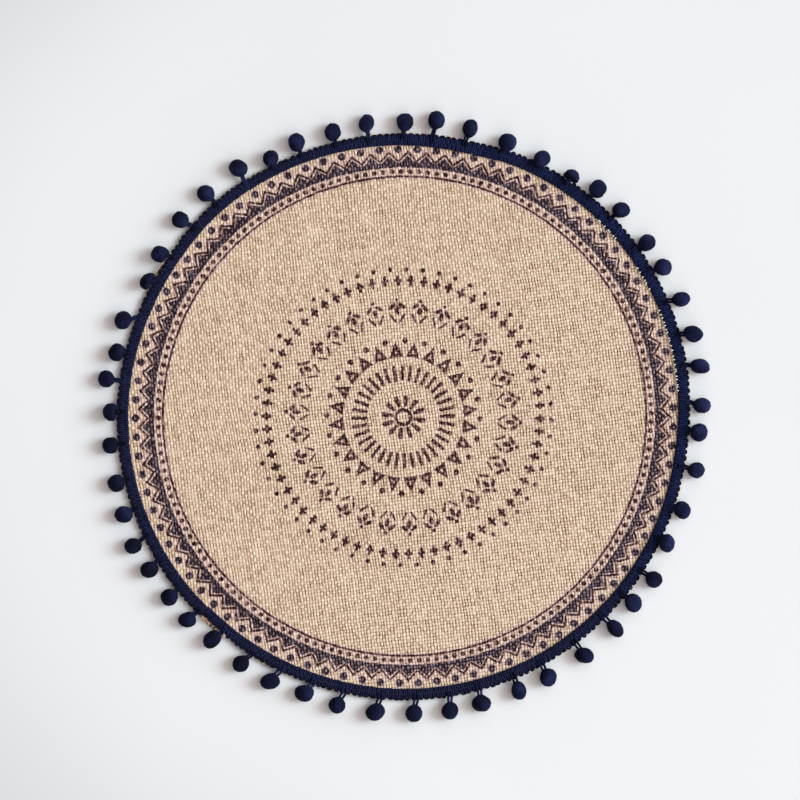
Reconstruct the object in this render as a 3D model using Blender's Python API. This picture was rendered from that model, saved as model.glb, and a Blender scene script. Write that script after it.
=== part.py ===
"""Round jute placemat with a pompom braid, lying flat on a table.

A disc of plain-woven jute has a gimp braid sewn on top of its raw edge. The braid's outer
side is a row of small scallops, and a pompom hangs from it on a short doubled thread every
23 mm or so. Metres, +Z up, with the origin at table level under the middle of the printed
border. Places round the mat are read as on a clock face seen from above: 12 points along +Y
and the turn runs clockwise, in degrees.
"""

from math import cos, pi, radians, sin, sqrt

import bmesh
import bpy
from mathutils import Matrix, Vector

MM = 0.001
CLEARANCE = 0.3 * MM  # between pieces that lie on each other
WELD_DISTANCE = 0.01 * MM
FACING_UP = 0.9  # least upward share of an upper face's normal

# Clock face
HOURS = 12
FULL_TURN = 360

# Jute cloth
CLOTH_THICKNESS = 1.8 * MM
CLOTH_STEPS = 180  # sides of the outline
RIM_WIDTH = 15 * MM  # reaches a little further in than the braid
RIM_PRESS = 0.2 * MM  # how much thinner the stitching makes the rim at its edge

# Braid
BRAID_THICKNESS = 1.6 * MM
SCALLOPS = 288
SCALLOP_DEPTH = 0.9 * MM
# One scallop: share of its pitch, share of its depth
SCALLOP_ROWS = (
    (0.00, 0.0),
    (0.26, 1.0),
    (0.74, 1.0),
)

# The edge as it lies, stretched a little here and eased there. The braid's two ends meet
# between 7.4 and 7.6 o'clock, where one end sits further out than the other.
# Hour, braid's outer edge, braid's width, cloth's raw edge, in mm from the origin
EDGE_ROWS = (
    (0.0, 188.8, 8.2, 189.0),
    (0.5, 189.2, 8.2, 189.2),
    (0.8, 190.6, 8.4, 189.7),
    (1.5, 192.7, 8.9, 191.4),
    (2.5, 192.2, 8.5, 191.2),
    (3.2, 190.4, 8.3, 189.6),
    (4.0, 190.0, 8.1, 189.2),
    (5.0, 189.2, 8.1, 188.4),
    (6.0, 188.6, 8.1, 187.9),
    (6.7, 188.0, 8.1, 187.4),
    (7.4, 188.4, 8.4, 190.0),
    (7.6, 190.4, 8.7, 190.0),
    (9.0, 191.5, 8.7, 190.6),
    (10.0, 190.5, 8.7, 190.4),
    (10.7, 190.7, 8.3, 190.0),
    (11.1, 189.0, 7.6, 189.1),
)
BRAID_EDGE, BRAID_WIDTH, CLOTH_EDGE = 1, 2, 3

# Pompoms
BALL_LENGTH = 11.4 * MM  # along its thread
BALL_WIDTH = 11.0 * MM
BALL_HEIGHT = 10.6 * MM
BALL_SIDES = 8
BALL_RINGS = 6
BALL_SIZE_SPREAD = 0.05
BALL_SIZE_WAVE = 2.4  # radians from one ball to the next
NECK_PINCH = 0.16  # how much the ball narrows towards its thread
THREAD_RADIUS = 1.0 * MM
THREAD_SIDES = 4
THREAD_ROOT = 2.6 * MM  # how far the thread reaches into the braid
FOOT_NEIGHBOURS = (-2, -1, 0, 1, 2)  # the balls that ease where a thread's foot is
# Where each pompom has come to lie, by the hour it is in: its turn in degrees, and how far
# its tip is from the origin in mm
POMPOM_ROWS = {
    12: ((0, 202), (6, 204.5), (13, 203), (20.5, 201), (28, 200.5)),
    1: ((35, 199.5), (40, 205), (46, 205), (54, 205)),
    2: ((60, 205), (67, 206.5), (74, 206.5), (80.5, 206.5), (88, 204.5)),
    3: ((93, 202.5), (100.5, 203.5), (108.5, 201), (116, 199.5)),
    4: ((123, 204), (129, 202.5), (135, 205), (143, 205)),
    5: ((151, 203.5), (157, 203.5), (165, 203), (171, 203.5), (178, 202.5)),
    6: ((185.5, 203), (193, 202.5), (200, 200.5), (207, 202.5)),
    7: ((213.5, 202.5), (220.5, 201.5), (227, 203), (232.5, 202.5), (239, 203)),
    8: ((244.5, 205), (251, 203), (257, 201.5), (264.5, 201.5)),
    9: ((271, 199.5), (277, 204.5), (282.5, 201), (289, 202), (298, 197)),
    10: ((303.5, 200.5), (311, 204), (318, 204), (326, 205)),
    11: ((333, 198.5), (338.5, 201.5), (346, 201), (352.5, 202.5)),
}


def clear_scene():
    for leftover in list(bpy.data.objects):
        bpy.data.objects.remove(leftover, do_unlink=True)


def new_collection(name):
    collection = bpy.data.collections.new(name)
    bpy.context.scene.collection.children.link(collection)
    return collection


def new_material(name, colour, roughness):
    material = bpy.data.materials.new(name)
    material.use_nodes = True
    shader = material.node_tree.nodes["Principled BSDF"]
    shader.inputs["Base Color"].default_value = (*colour, 1.0)
    shader.inputs["Roughness"].default_value = roughness
    shader.inputs["Metallic"].default_value = 0.0
    return material


def edge_at(turn, column):
    """A column of EDGE_ROWS at this turn, in metres, along a smooth closed curve."""
    hour = HOURS * (turn / FULL_TURN % 1)
    count = len(EDGE_ROWS)
    here = max(i for i in range(count) if EDGE_ROWS[i][0] <= hour)

    def row(offset):
        lap, index = divmod(here + offset, count)
        return EDGE_ROWS[index][0] + HOURS * lap, EDGE_ROWS[index][column]

    (h0, v0), (h1, v1), (h2, v2), (h3, v3) = (row(offset) for offset in (-1, 0, 1, 2))
    span = h2 - h1
    slope_1 = (v2 - v0) / (h2 - h0) * span
    slope_2 = (v3 - v1) / (h3 - h1) * span
    t = (hour - h1) / span
    value = (
        (2 * t**3 - 3 * t**2 + 1) * v1
        + (t**3 - 2 * t**2 + t) * slope_1
        + (3 * t**2 - 2 * t**3) * v2
        + (t**3 - t**2) * slope_2
    )
    return value * MM


def on_clock(turn, radius, height=0.0):
    return Vector((radius * sin(radians(turn)), radius * cos(radians(turn)), height))


def flat_outline(name, outlines, bottom, thickness, collection):
    """An extruded flat shape. The first outline is its edge, and any other is a hole."""
    curve = bpy.data.curves.new(name, "CURVE")
    curve.dimensions = "2D"
    curve.fill_mode = "BOTH"
    curve.extrude = thickness / 2
    for points in outlines:
        spline = curve.splines.new("POLY")
        spline.points.add(len(points) - 1)
        for spline_point, point in zip(spline.points, points):
            spline_point.co = (point.x, point.y, 0.0, 1.0)
        spline.use_cyclic_u = True
    outline = bpy.data.objects.new(name, curve)
    outline.location.z = bottom + thickness / 2
    collection.objects.link(outline)
    return outline


def as_welded_mesh(outline):
    """The same shape as a closed mesh, which a Boolean can work on."""
    bpy.context.view_layer.update()
    graph = bpy.context.evaluated_depsgraph_get()
    mesh = bpy.data.meshes.new_from_object(outline.evaluated_get(graph))
    welded = bmesh.new()
    welded.from_mesh(mesh)
    bmesh.ops.remove_doubles(welded, verts=welded.verts, dist=WELD_DISTANCE)
    bmesh.ops.recalc_face_normals(welded, faces=welded.faces)
    welded.to_mesh(mesh)
    welded.free()
    name = outline.name
    solid = bpy.data.objects.new(name, mesh)
    solid.matrix_world = outline.matrix_world.copy()
    outline.users_collection[0].objects.link(solid)
    bpy.data.objects.remove(outline, do_unlink=True)
    solid.name = name
    return solid


def press_rim(cloth):
    """Slopes the rim down, as it is where the braid is sewn on. A plate stands inside it."""
    shape = bmesh.new()
    shape.from_mesh(cloth.data)
    upper = [face for face in shape.faces if face.normal.z > FACING_UP]
    rim = bmesh.ops.inset_region(
        shape, faces=upper, thickness=RIM_WIDTH, use_boundary=True, use_even_offset=True
    )
    rim_points = {vert for face in rim["faces"] for vert in face.verts}
    inner_points = {vert for face in upper for vert in face.verts}
    for vert in rim_points - inner_points:
        vert.co.z -= RIM_PRESS
    shape.to_mesh(cloth.data)
    shape.free()


def build_cloth(collection, material):
    turns = [FULL_TURN * step / CLOTH_STEPS for step in range(CLOTH_STEPS)]
    outline = [on_clock(turn, edge_at(turn, CLOTH_EDGE)) for turn in turns]
    cloth = flat_outline("cloth", [outline], 0.0, CLOTH_THICKNESS, collection)
    cloth = as_welded_mesh(cloth)
    press_rim(cloth)
    cloth.data.materials.append(material)
    return cloth


def build_braid(collection, material):
    pitch = FULL_TURN / SCALLOPS
    outer = []
    inner = []
    for scallop in range(SCALLOPS):
        for share, rise in SCALLOP_ROWS:
            turn = (scallop + share) * pitch
            radius = edge_at(turn, BRAID_EDGE) - SCALLOP_DEPTH * (1 - rise)
            outer.append(on_clock(turn, radius))
        turn = scallop * pitch
        radius = edge_at(turn, BRAID_EDGE) - edge_at(turn, BRAID_WIDTH)
        inner.append(on_clock(turn, radius))
    bottom = CLOTH_THICKNESS + CLEARANCE
    braid = flat_outline("pompom_braid", [outer, inner], bottom, BRAID_THICKNESS, collection)
    braid = as_welded_mesh(braid)
    braid.data.materials.append(material)
    return braid


def ball_height(turn, reach, size):
    """Height of a ball's centre: on the table, or raised where the cloth's edge is under it."""
    radius = size * BALL_HEIGHT / 2
    beside = reach - edge_at(turn, CLOTH_EDGE)
    clear = size * BALL_WIDTH / 2 + CLEARANCE
    if beside >= clear:
        return radius
    over_edge = CLOTH_THICKNESS + sqrt(clear**2 - max(beside, 0.0) ** 2)
    return max(radius, over_edge)


def foot_turns(turns):
    """Turn of each thread's foot: even along the braid, and eased as the balls are."""
    count = len(turns)
    even = [FULL_TURN * index / count for index in range(count)]
    strays = [turn - place for turn, place in zip(turns, even)]
    feet = []
    for index, place in enumerate(even):
        near = [strays[(index + step) % count] for step in FOOT_NEIGHBOURS]
        feet.append(place + sum(near) / len(near))
    return feet


def build_ball(name, centre, along, size, collection):
    """An egg on its side, narrower towards its thread, with a corner at its lowest point."""
    shape = bmesh.new()
    bmesh.ops.create_uvsphere(
        shape, u_segments=BALL_SIDES, v_segments=BALL_RINGS, radius=1.0
    )
    for vert in shape.verts:
        towards_thread = max(0.0, -vert.co.z)
        narrowed = 1 - NECK_PINCH * towards_thread
        vert.co.x *= narrowed * size * BALL_HEIGHT / 2
        vert.co.y *= narrowed * size * BALL_WIDTH / 2
        vert.co.z *= size * BALL_LENGTH / 2
    down = Vector((0.0, 0.0, -1.0))
    side = along.cross(down)
    axes = Matrix((down, side, along)).transposed().to_4x4()
    mesh = bpy.data.meshes.new(name)
    shape.to_mesh(mesh)
    shape.free()
    ball = bpy.data.objects.new(name, mesh)
    ball.matrix_world = Matrix.Translation(centre) @ axes
    collection.objects.link(ball)
    return ball


def build_thread(name, foot, centre, collection):
    shape = bmesh.new()
    run = centre - foot
    bmesh.ops.create_cone(
        shape,
        cap_ends=True,
        segments=THREAD_SIDES,
        radius1=THREAD_RADIUS,
        radius2=THREAD_RADIUS,
        depth=run.length,
    )
    mesh = bpy.data.meshes.new(name)
    shape.to_mesh(mesh)
    shape.free()
    thread = bpy.data.objects.new(name, mesh)
    level = run.to_track_quat("Z", "Y").to_matrix().to_4x4()
    flats = Matrix.Rotation(pi / THREAD_SIDES, 4, "Z")
    thread.matrix_world = Matrix.Translation((foot + centre) / 2) @ level @ flats
    collection.objects.link(thread)
    return thread


def build_pompoms(collection):
    """Balls and threads, each a closed shape that reaches into the next."""
    places = [place for row in POMPOM_ROWS.values() for place in row]
    feet = foot_turns([turn for turn, tip in places])
    braid_middle = CLOTH_THICKNESS + CLEARANCE + BRAID_THICKNESS / 2
    for index, ((turn, tip), foot_turn) in enumerate(zip(places, feet)):
        size = 1 + BALL_SIZE_SPREAD * sin(BALL_SIZE_WAVE * index)
        reach = tip * MM - size * BALL_LENGTH / 2
        centre = on_clock(turn, reach, ball_height(turn, reach, size))
        foot_radius = edge_at(foot_turn, BRAID_EDGE) - THREAD_ROOT
        foot = on_clock(foot_turn, foot_radius, braid_middle)
        along = centre - foot
        along.z = 0.0
        build_ball(f"ball_{index}", centre, along.normalized(), size, collection)
        build_thread(f"thread_{index}", foot, centre, collection)


def fuse(backing, strands):
    """Joins every strand's root to its backing, as one solid."""
    joint = backing.modifiers.new("roots", "BOOLEAN")
    joint.operation = "UNION"
    joint.operand_type = "COLLECTION"
    joint.collection = strands
    joint.solver = "EXACT"
    for strand in strands.objects:
        strand.hide_render = True
        strand.display_type = "WIRE"


def build_placemat():
    clear_scene()
    placemat = new_collection("placemat")
    strands = new_collection("pompoms_to_fuse")
    strands.hide_render = True

    jute = new_material("jute", colour=(0.58, 0.44, 0.29), roughness=0.9)
    navy_yarn = new_material("navy_yarn", colour=(0.012, 0.016, 0.045), roughness=0.95)

    build_cloth(placemat, jute)
    braid = build_braid(placemat, navy_yarn)
    build_pompoms(strands)
    fuse(braid, strands)


build_placemat()
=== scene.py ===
from math import cos, pi, radians, sin, sqrt

import bmesh
import bpy
import numpy as np
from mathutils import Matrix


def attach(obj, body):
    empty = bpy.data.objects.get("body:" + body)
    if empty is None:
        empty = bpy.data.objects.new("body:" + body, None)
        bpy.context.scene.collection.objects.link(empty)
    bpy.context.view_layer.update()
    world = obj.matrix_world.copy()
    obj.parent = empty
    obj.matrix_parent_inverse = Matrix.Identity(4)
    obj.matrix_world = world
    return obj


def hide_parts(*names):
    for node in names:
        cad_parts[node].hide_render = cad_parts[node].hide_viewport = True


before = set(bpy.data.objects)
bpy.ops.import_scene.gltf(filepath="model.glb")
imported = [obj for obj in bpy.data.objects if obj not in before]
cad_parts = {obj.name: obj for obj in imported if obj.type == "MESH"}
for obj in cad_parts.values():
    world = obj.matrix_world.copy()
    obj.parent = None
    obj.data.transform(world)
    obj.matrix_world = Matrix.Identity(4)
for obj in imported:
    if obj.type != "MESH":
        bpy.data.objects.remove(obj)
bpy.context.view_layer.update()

mm = 0.001
upwards = np.array([0.0, 0.0, 1.0])
print("placemat: frame loaded")


# the edge as it lies
# Places round the mat are read as on a clock face from above, clockwise from 12, in degrees.
# hour, braid's outer edge, braid's width, cloth's raw edge, in mm from the middle
edgeRows = (
    (0.0, 189.3, 8.8, 189.0),
    (0.5, 189.5, 9.2, 189.2),
    (0.8, 191.5, 9.1, 189.7),
    (1.5, 193.4, 9.4, 191.4),
    (2.5, 192.6, 8.7, 191.2),
    (3.2, 190.5, 8.5, 189.6),
    (4.0, 190.4, 8.4, 189.2),
    (5.0, 190.0, 8.6, 188.4),
    (6.0, 189.0, 8.3, 187.9),
    (6.7, 188.6, 8.3, 187.4),
    (7.4, 189.2, 8.4, 190.0),
    (7.6, 190.4, 8.6, 190.0),
    (9.0, 191.3, 8.3, 190.6),
    (10.0, 190.0, 8.3, 190.4),
    (10.7, 190.9, 8.4, 190.0),
    (11.1, 189.2, 7.6, 189.1),
)
braidEdge, braidWidth, clothEdge = 1, 2, 3


def edgeAt(turn, column):
    # a column of edgeRows at these turns, in metres, along a smooth closed curve
    hour = np.asarray(turn, float) / 30 % 12
    at = np.array([row[0] for row in edgeRows])
    value = np.tile([row[column] for row in edgeRows], 3)
    at = np.concatenate([at - 12, at, at + 12])
    here = np.searchsorted(at, hour, side="right") - 1
    h0, h1, h2, h3 = (at[here + step] for step in (-1, 0, 1, 2))
    v0, v1, v2, v3 = (value[here + step] for step in (-1, 0, 1, 2))
    span = h2 - h1
    t = (hour - h1) / span
    leave = (v2 - v0) / (h2 - h0) * span
    arrive = (v3 - v1) / (h3 - h1) * span
    return mm * (
        (2 * t**3 - 3 * t**2 + 1) * v1
        + (t**3 - 2 * t**2 + t) * leave
        + (3 * t**2 - 2 * t**3) * v2
        + (t**3 - t**2) * arrive
    )


def onClock(turn, radius, height):
    angle = np.radians(turn)
    return columns(radius * np.sin(angle), radius * np.cos(angle), height)


def clockOf(places):
    # the turn in degrees and the distance from the middle, as onClock takes them
    x, y = places[..., 0], places[..., 1]
    return np.degrees(np.arctan2(x, y)), np.hypot(x, y)


def turnOver(distance, radius):
    # the turn in degrees that goes this distance round the mat
    return np.degrees(distance / radius)


def columns(*values):
    return np.stack(np.broadcast_arrays(*values), axis=-1)


def unit(vectors):
    return vectors / np.linalg.norm(vectors, axis=-1, keepdims=True)


def ripple(points, crest, seed, waves=8):
    # smooth unevenness, mostly from -1 to 1, with about this distance between its crests
    chance = np.random.default_rng(seed)
    total = 0
    for _ in range(waves):
        along = points @ unit(chance.normal(size=points.shape[-1]))
        length = crest * chance.uniform(0.65, 1.5)
        total = total + np.sin(2 * pi * along / length + chance.uniform(0, 2 * pi))
    return total / sqrt(waves) * 1.2


# making pieces
def gathered(shapes):
    # several (points, faces) as one
    points, faces, start = [], [], 0
    for shapePoints, shapeFaces in shapes:
        points.append(shapePoints)
        faces += [[start + corner for corner in face] for face in shapeFaces]
        start += len(shapePoints)
    return np.concatenate(points), faces


def addObject(name, data):
    made = bpy.data.objects.new(name, data)
    bpy.context.scene.collection.objects.link(made)
    return made


def newPiece(name, shape, material):
    points, faces = shape
    mesh = bpy.data.meshes.new(name)
    mesh.from_pydata(points.tolist(), [], faces)
    mesh.update()
    mesh.shade_smooth()
    mesh.materials.append(material)
    piece = addObject(name, mesh)
    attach(piece, "root")
    print(f"placemat: {name}, {sum(len(face) - 2 for face in faces)} triangles")
    return piece


def giveMap(piece, name, places):
    # a map in which each corner of a face has its point's place
    corners = np.concatenate([polygon.vertices for polygon in piece.data.polygons])
    piece.data.uv_layers.new(name=name).data.foreach_set("uv", places[corners].ravel())


def tubes(routes, radii, sides):
    # closed round strands along routes, an array of strands by steps by xyz
    along = unit(np.gradient(routes, axis=1))
    across = unit(np.cross(along, (0.03, 0.02, 1.0)))  # close to level, also for one that stands up
    over = np.cross(across, along)
    turn = np.linspace(0, 2 * pi, sides, endpoint=False)
    ring = np.cos(turn)[:, None] * across[:, :, None, :] + np.sin(turn)[:, None] * over[:, :, None, :]
    radii = np.broadcast_to(radii, routes.shape[:2])
    points = routes[:, :, None, :] + radii[:, :, None, None] * ring
    index = np.arange(points.size // 3).reshape(points.shape[:3])
    here, after = index[:, :-1], index[:, 1:]
    walls = columns(here, after, np.roll(after, -1, axis=2), np.roll(here, -1, axis=2))
    faces = walls.reshape(-1, 4).tolist() + index[:, 0].tolist() + index[:, -1, ::-1].tolist()
    return points.reshape(-1, 3), faces


# materials
def doing(operation):
    # a method that adds this Math node
    return lambda self, *others: self.board.sum(operation, self, *others)


class Flow:  # a number on its way through a material's nodes
    def __init__(self, board, socket):
        self.board, self.socket = board, socket

    def __rsub__(self, other):
        return self.board.sum("SUBTRACT", other, self)

    def __neg__(self):
        return self * -1.0

    __add__ = __radd__ = doing("ADD")
    __sub__ = doing("SUBTRACT")
    __mul__ = __rmul__ = doing("MULTIPLY")
    __truediv__ = doing("DIVIDE")
    __gt__ = doing("GREATER_THAN")
    __abs__ = doing("ABSOLUTE")


class Board:  # the nodes of one material, or of the world
    def __init__(self, name, kind="materials"):
        self.holder = getattr(bpy.data, kind).new(name)
        self.holder.use_nodes = True
        self.tree = self.holder.node_tree
        self.tree.nodes.clear()

    def add(self, kind, settings=None, sockets=None, output=0):
        node = self.tree.nodes.new(kind)
        for name, value in (settings or {}).items():
            if name == "stops":
                self.setStops(node.color_ramp, value)
            else:
                setattr(node, name, value)
        for name, value in (sockets or {}).items():
            if isinstance(value, Flow):
                self.tree.links.new(value.socket, node.inputs[name])
            else:
                node.inputs[name].default_value = value
        return Flow(self, node.outputs[output]) if node.outputs else None

    def setStops(self, ramp, stops):
        while len(ramp.elements) < len(stops):
            ramp.elements.new(1.0)
        for element, (place, colour) in zip(ramp.elements, stops):
            element.position = place
            element.color = (*colour, 1.0)

    def sum(self, operation, *values):
        return self.add("ShaderNodeMath", {"operation": operation}, dict(enumerate(values)))

    def low(self, one, other):
        return self.sum("MINIMUM", one, other)

    def high(self, one, other):
        return self.sum("MAXIMUM", one, other)

    def root(self, value):
        return self.sum("SQRT", value)

    def ease(self, value, start, end, first=0.0, last=1.0):
        return self.add(
            "ShaderNodeMapRange",
            {"interpolation_type": "SMOOTHSTEP"},
            {"Value": value, "From Min": start, "From Max": end, "To Min": first, "To Max": last},
        )

    def blend(self, share, one, other, way="MIX"):
        return self.add(
            "ShaderNodeMix", {"data_type": "RGBA", "blend_type": way}, {0: share, 6: one, 7: other}, output=2
        )

    def ramp(self, value, places, tones):
        return self.add("ShaderNodeValToRGB", {"stops": list(zip(places, tones))}, {0: value})

    def place(self):
        # x, y and z in mm, and the same as a vector
        spot = self.add("ShaderNodeTexCoord", output=3)
        spot = self.add("ShaderNodeVectorMath", {"operation": "SCALE"}, {0: spot, 3: 1 / mm})
        return (*self.split(spot), spot)

    def split(self, vector):
        node = self.add("ShaderNodeSeparateXYZ", sockets={0: vector}).socket.node
        return tuple(Flow(self, socket) for socket in node.outputs)

    def join(self, x, y, z=0.0):
        return self.add("ShaderNodeCombineXYZ", sockets={0: x, 1: y, 2: z})

    def noise(self, vector, scale, detail=2.0, roughness=0.5):
        return self.add(
            "ShaderNodeTexNoise",
            sockets={"Vector": vector, "Scale": scale, "Detail": detail, "Roughness": roughness},
        )

    def chance(self, vector):
        # a random number for each whole-numbered place
        return self.add("ShaderNodeTexWhiteNoise", sockets={"Vector": vector})

    def bump(self, height, distance, strength=1.0):
        sockets = {"Height": height, "Distance": distance, "Strength": strength}
        return self.add("ShaderNodeBump", sockets=sockets)

    def surface(self, colour, roughness, normal, specular=0.5):
        sockets = {"Base Color": colour, "Roughness": roughness, "Normal": normal}
        shader = self.add("ShaderNodeBsdfPrincipled", sockets={**sockets, "Specular IOR Level": specular})
        self.add("ShaderNodeOutputMaterial", sockets={"Surface": shader})
        return self.holder


def shade(red, green, blue):
    # a colour as read on a screen, 0 to 255, in the linear values that a shader takes
    steps = [step / 255 for step in (red, green, blue)]
    return tuple(step / 12.92 if step <= 0.04045 else ((step + 0.055) / 1.055) ** 2.4 for step in steps)


# jute cloth and its print
cloth = {
    "slant": 7.3,  # the yarns' lean, in degrees
    "warpPitch": 1.97 * mm,
    "weftPitch": 2.15 * mm,
    "reach": (101, 93),  # yarns to either side of the middle, past the edge
    "warpTop": 1.84 * mm,
    "weftTop": 1.66 * mm,
    "hole": 1.12 * mm,  # the height between four crossings
    "underLift": 0.42 * mm,  # of every other one of them on the under side
    "pressed": 0.10 * mm,  # how much lower it lies under the braid
    "pressWidth": 2 * mm,  # in which it goes down there
    "sizeSpread": 0.16,
    "crownSwell": 0.35 * mm,  # how much a thick yarn stands up, for its size
    "holeSwell": 0.5 * mm,
    "sway": (90 * mm, 80 * mm, 0.45 * mm),  # the yarns' long waves: lengths, and how far they go
    "waver": (17 * mm, 15 * mm, 0.10 * mm),  # and their short ones
    "straySpread": 0.15 * mm,
    "crossingStray": 0.13 * mm,
    "shows": ((219.5, 227), (344, 371), (324, 332), (297, 305)),  # degrees
    "showRun": 3,  # degrees in which it comes out there
    "tuckedIn": 1.3 * mm,
    "cutMargin": 0.6 * mm,  # how far within the raw edge its last crossings are
    "cutStray": 0.5 * mm,
    "flat": (0.3812, 0.3768),  # metres, and the area in square metres
    "area": 0.1135,
    "layoutRadius": 0.194,
    "layouts": ((0.435, 0.44), (0.14, 0.855), (0.435, 0.44)),  # of upper side, under side and edge
}

# What is printed: repeats round the middle, where the first one is in degrees, and the
# distance of its middle from the mat's, in mm. Sizes are halves, in mm.
medallion = {
    "middle": (-0.2, -0.2),
    "ring": {"out": 4.9, "half": 0.88},
    "petals": {"repeats": 12, "first": 8.8, "out": 10.85, "long": 3.75, "tip": 1.45, "heel": 0.75},
    "rays": {"repeats": 36, "first": 8.7, "out": 29.35, "long": 5.0, "wide": 0.89, "corner": 0.5},
    "triangles": {"repeats": 24, "first": 8.7, "base": 40.4, "apex": 49.8, "wide": 4.35},
    "windows": {"base": 42.3, "apex": 45.6, "wide": 1.75},
    "fatDots": {"repeats": 24, "first": 1.2, "out": 50.9, "size": 1.65},
    "flowers": {"repeats": 30, "first": 8.75, "out": 78.0, "size": 0.95},  # the dot at its tip
    "sidePetals": {"out": 74.05, "aside": 3.2, "long": 2.3, "wide": 1.08, "lean": -51},
    "midPetal": {"out": 71.25, "long": 2.45, "wide": 1.32},
    "leaves": {"out": 66.15, "aside": 3.1, "long": 3.2, "wide": 0.46, "lean": 33},
    "crosses": {"repeats": 66, "first": 3.2, "out": 91.05, "long": 3.3, "short": 2.5, "wide": 0.84},
    "outerDots": {"repeats": 56, "first": 1.2, "out": 98.5, "size": 1.22},
}
# The border's distances are from its thin line, which wanders round the mat.
border = {
    "line": {"out": 160.25, "half": 0.46},
    "wander": ((1, 0.905, 51), (2, 0.668, 176), (3, 0.112, 128)),  # waves a turn, mm, degrees
    "drift": ((1, 0.59, 96), (2, 0.35, 90)),  # the same, for how far its repeats stray along it
    "smallDots": {"repeats": 173, "first": 1.53, "out": 3.15, "size": 1.36},
    "band": {"inner": 6.2, "outer": 9.1},
    "zigzag": {"repeats": 89, "first": 0.91, "peak": 16.0, "valley": 10.0, "half": 0.50},
    "bandBelow": (1.25, 0.25),  # how far under the zigzag its teeth end, and the rest at least
    "bigDots": {"repeats": 89, "first": 2.92, "out": 18.05, "size": 2.28},
}


class Print:  # distances from the printed shapes, in mm, below 0 inside them
    def __init__(self, board, x, y):
        self.board = board
        self.radius = board.root(x * x + y * y)
        self.angle = board.sum("ARCTAN2", x, y)

    def turnFrom(self, row):
        # how far a point is, in radians, from the nearest of a row's repeats
        share = (self.angle / (2 * pi) - row["first"] / 360) * row["repeats"]
        return (share - self.board.sum("ROUND", share)) * (2 * pi / row["repeats"])

    def asideFrom(self, row):
        # the same in mm, along the ring
        return self.radius * self.turnFrom(row)

    def dots(self, row, out):
        # a ring of dots, for a point that is this far out
        x, y = self.asideFrom(row), out - row["out"]
        return self.board.root(x * x + y * y) - row["size"]

    def bar(self, x, y, wide, long, corner):
        x, y = self.board.high(abs(x) - (wide - corner), 0.0), self.board.high(abs(y) - (long - corner), 0.0)
        return self.board.root(x * x + y * y) - corner

    def leaf(self, x, y, wide, long):
        x, y = x / wide, y / long
        return (self.board.root(x * x + y * y) - 1.0) * wide

    def leaning(self, x, y, lean):
        c, s = cos(radians(lean)), sin(radians(lean))
        return x * c - y * s, x * s + y * c

    def triangle(self, x, row):
        tall = row["apex"] - row["base"]
        slope = sqrt(tall**2 + row["wide"] ** 2)
        flank = abs(x) * (tall / slope) + (self.radius - row["apex"]) * (row["wide"] / slope)
        return self.board.high(flank, row["base"] - self.radius)

    def nearest(self, shapes):
        found = shapes[0]
        for other in shapes[1:]:
            found = self.board.low(found, other)
        return found


def medallionShapes(ink):
    board, rows, out = ink.board, medallion, ink.radius
    ring = abs(out - rows["ring"]["out"]) - rows["ring"]["half"]
    row = rows["petals"]
    x, y = ink.asideFrom(row), out - row["out"]
    girth = board.ease(y, -row["long"], row["long"] * 0.6, row["heel"], row["tip"])
    past = board.high(abs(y) - row["long"] + girth, 0.0)
    petals = board.root(x * x + past * past) - girth
    row = rows["rays"]
    rays = ink.bar(ink.asideFrom(row), out - row["out"], row["wide"], row["long"], row["corner"])
    inner = ink.nearest([ring, petals, rays])

    x = ink.asideFrom(rows["triangles"])
    triangles = board.high(ink.triangle(x, rows["triangles"]), -ink.triangle(x, rows["windows"]))
    fatDots = ink.dots(rows["fatDots"], out)

    x = ink.asideFrom(rows["flowers"])
    tip = ink.dots(rows["flowers"], out)
    row = rows["sidePetals"]
    sideX, sideY = ink.leaning(abs(x) - row["aside"], out - row["out"], row["lean"])
    side = ink.leaf(sideX, sideY, row["wide"], row["long"])
    row = rows["midPetal"]
    middle = ink.leaf(x, out - row["out"], row["wide"], row["long"])
    row = rows["leaves"]
    leafX, leafY = ink.leaning(abs(x) - row["aside"], out - row["out"], row["lean"])
    leaves = ink.bar(leafX, leafY, row["wide"], row["long"], row["wide"])
    flowers = ink.nearest([tip, side, middle, leaves])

    row = rows["crosses"]
    x, y = ink.asideFrom(row), out - row["out"]
    upright = ink.bar(x, y, row["wide"], row["long"], row["wide"])
    crossbar = ink.bar(x, y, row["short"], row["wide"], row["wide"])
    crosses = board.low(upright, crossbar)
    outerDots = ink.dots(rows["outerDots"], out)
    return ink.nearest([inner, triangles, fatDots, flowers, crosses, outerDots])


def borderShapes(ink):
    # the border's lines and dots, and its filled band, as two distances
    board = ink.board

    def waves(rows):
        return [board.sum("COSINE", ink.angle * count - radians(at)) * size for count, size, at in rows]

    out = ink.radius - border["line"]["out"]
    for wave in waves(border["wander"]):
        out = out - wave
    for wave in waves(border["drift"]):
        ink.angle = ink.angle - wave / border["line"]["out"]
    line = abs(out) - border["line"]["half"]

    row = border["zigzag"]
    rise = row["peak"] - row["valley"]
    step = abs(ink.turnFrom(row)) * (row["repeats"] / pi)  # 0 at a peak, 1 in a valley
    halfPitch = pi * (border["line"]["out"] + row["valley"]) / row["repeats"]
    squint = halfPitch / sqrt(halfPitch**2 + rise**2)
    height = (out - row["peak"] + step * rise) * squint
    zigzag = abs(height) - row["half"]
    teeth = height + (row["half"] + border["bandBelow"][0])
    band = board.high(board.low(teeth, out - border["band"]["outer"]), border["band"]["inner"] - out)
    band = board.high(band, height + row["half"] + border["bandBelow"][1])
    lines = ink.nearest([line, ink.dots(border["smallDots"], out), zigzag])
    return lines, board.low(band, ink.dots(border["bigDots"], out))


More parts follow.
